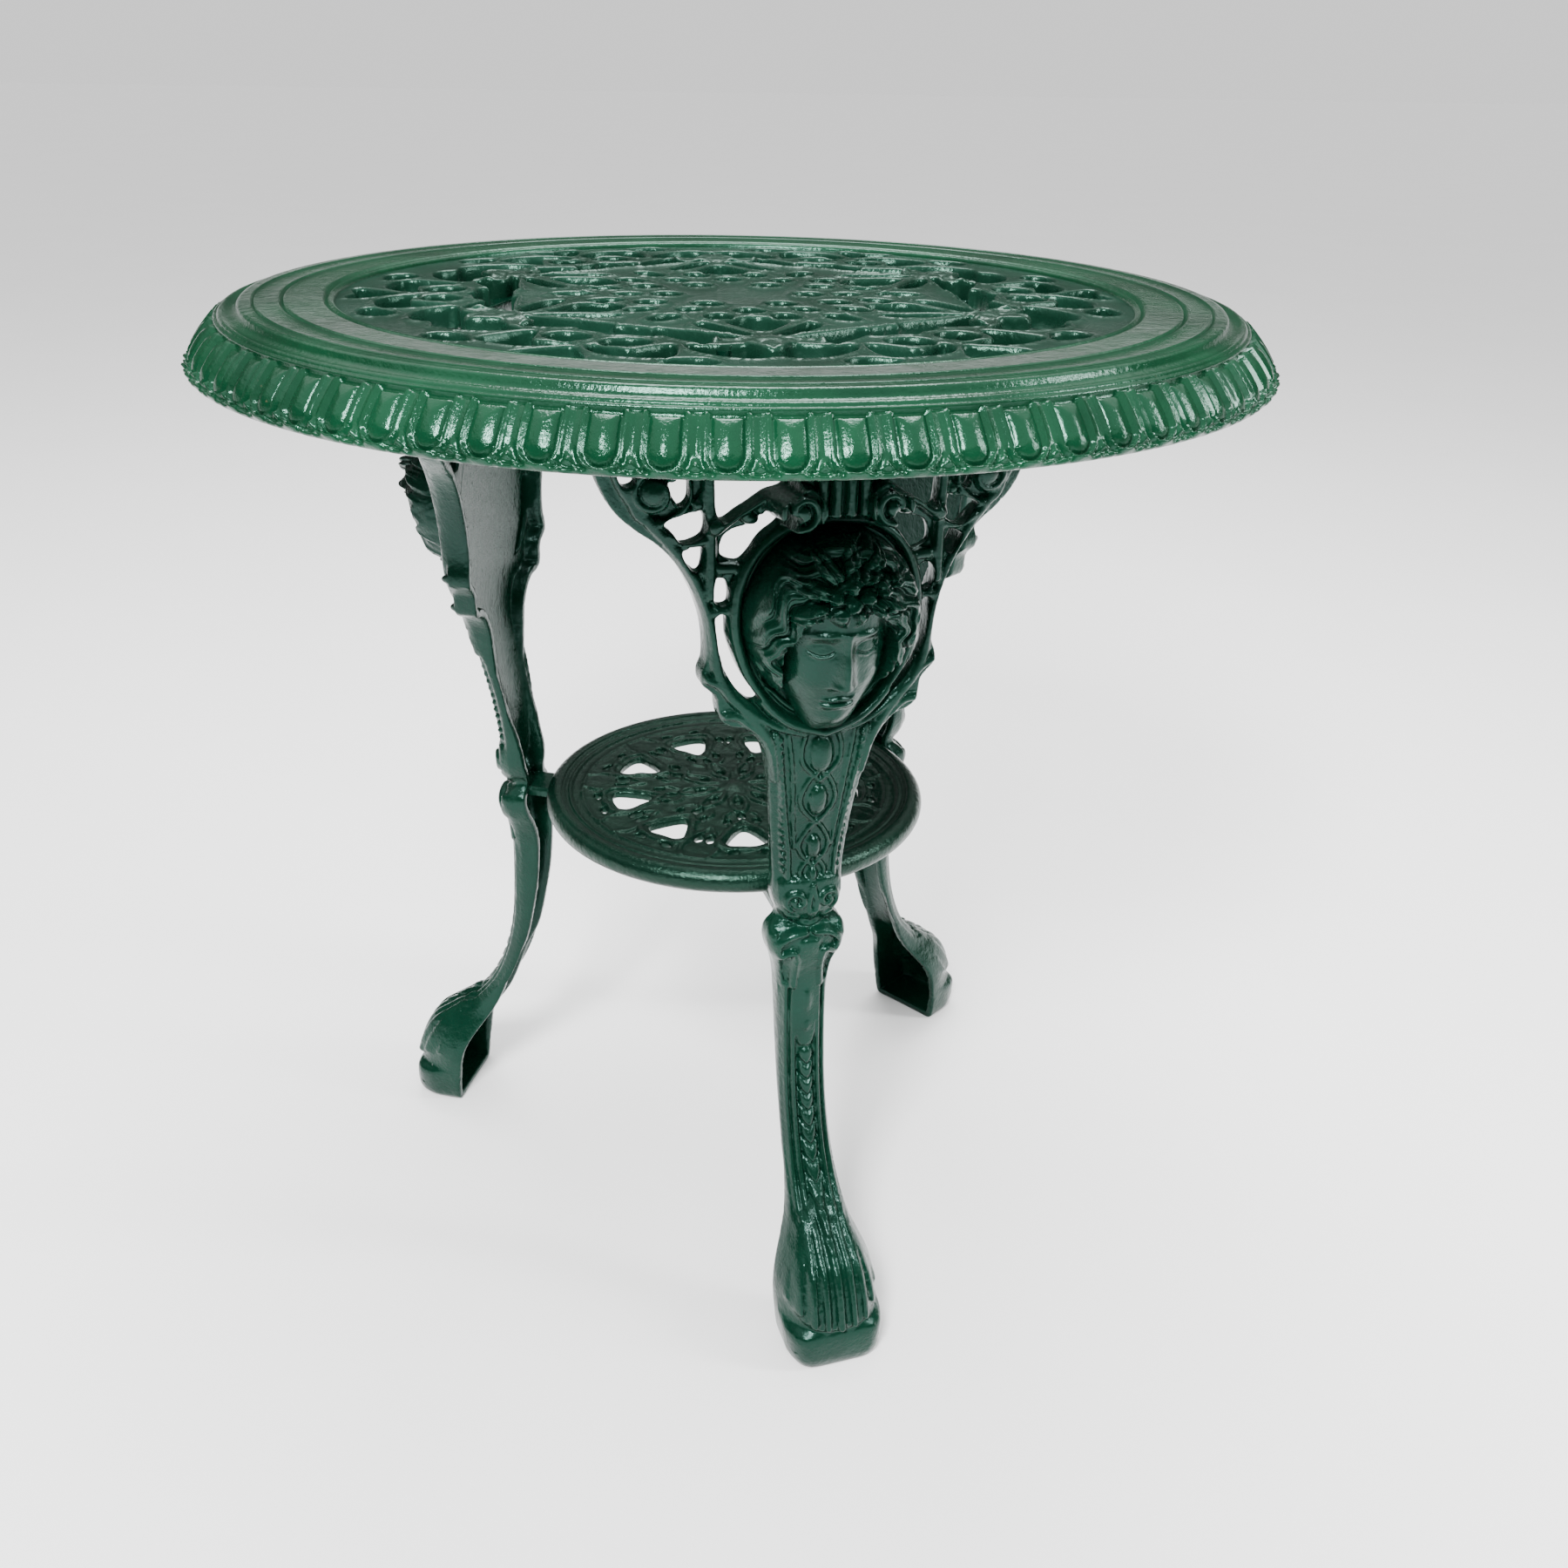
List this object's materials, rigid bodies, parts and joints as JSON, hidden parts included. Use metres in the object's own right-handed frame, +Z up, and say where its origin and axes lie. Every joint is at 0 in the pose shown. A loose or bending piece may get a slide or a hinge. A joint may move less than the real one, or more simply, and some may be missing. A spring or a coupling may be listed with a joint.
{
  "type": "garden table",
  "caption": "Round cast-iron garden table with a pierced top, flared skirt, cabriole legs with medallions, and a small pierced shelf.",
  "frame": {"origin": "on the floor under the middle of the round top", "axes": "+Z up; -Y towards the front leg, the other two legs at 120 degrees each side of it"},
  "size_m": [0.7099, 0.71, 0.7],
  "materials": {
    "painted_casting": "deep green gloss paint, brushed over a sand casting",
    "painted_fixing": "the same green paint over steel fixings"
  },
  "bodies": {
    "root": {"leg_front": "painted_casting", "leg_left": "painted_casting", "leg_right": "painted_casting", "shelf": "painted_casting", "shelf_bolt_front": "painted_fixing", "shelf_bolt_left": "painted_fixing", "shelf_bolt_right": "painted_fixing", "shelf_washer_front": "painted_fixing", "shelf_washer_left": "painted_fixing", "shelf_washer_right": "painted_fixing", "table_top": "painted_casting", "top_bolt_front_a": "painted_fixing", "top_bolt_front_b": "painted_fixing", "top_bolt_left_a": "painted_fixing", "top_bolt_left_b": "painted_fixing", "top_bolt_right_a": "painted_fixing", "top_bolt_right_b": "painted_fixing", "top_washer_front_a": "painted_fixing", "top_washer_front_b": "painted_fixing", "top_washer_left_a": "painted_fixing", "top_washer_left_b": "painted_fixing", "top_washer_right_a": "painted_fixing", "top_washer_right_b": "painted_fixing"}
  },
  "joints": []
}
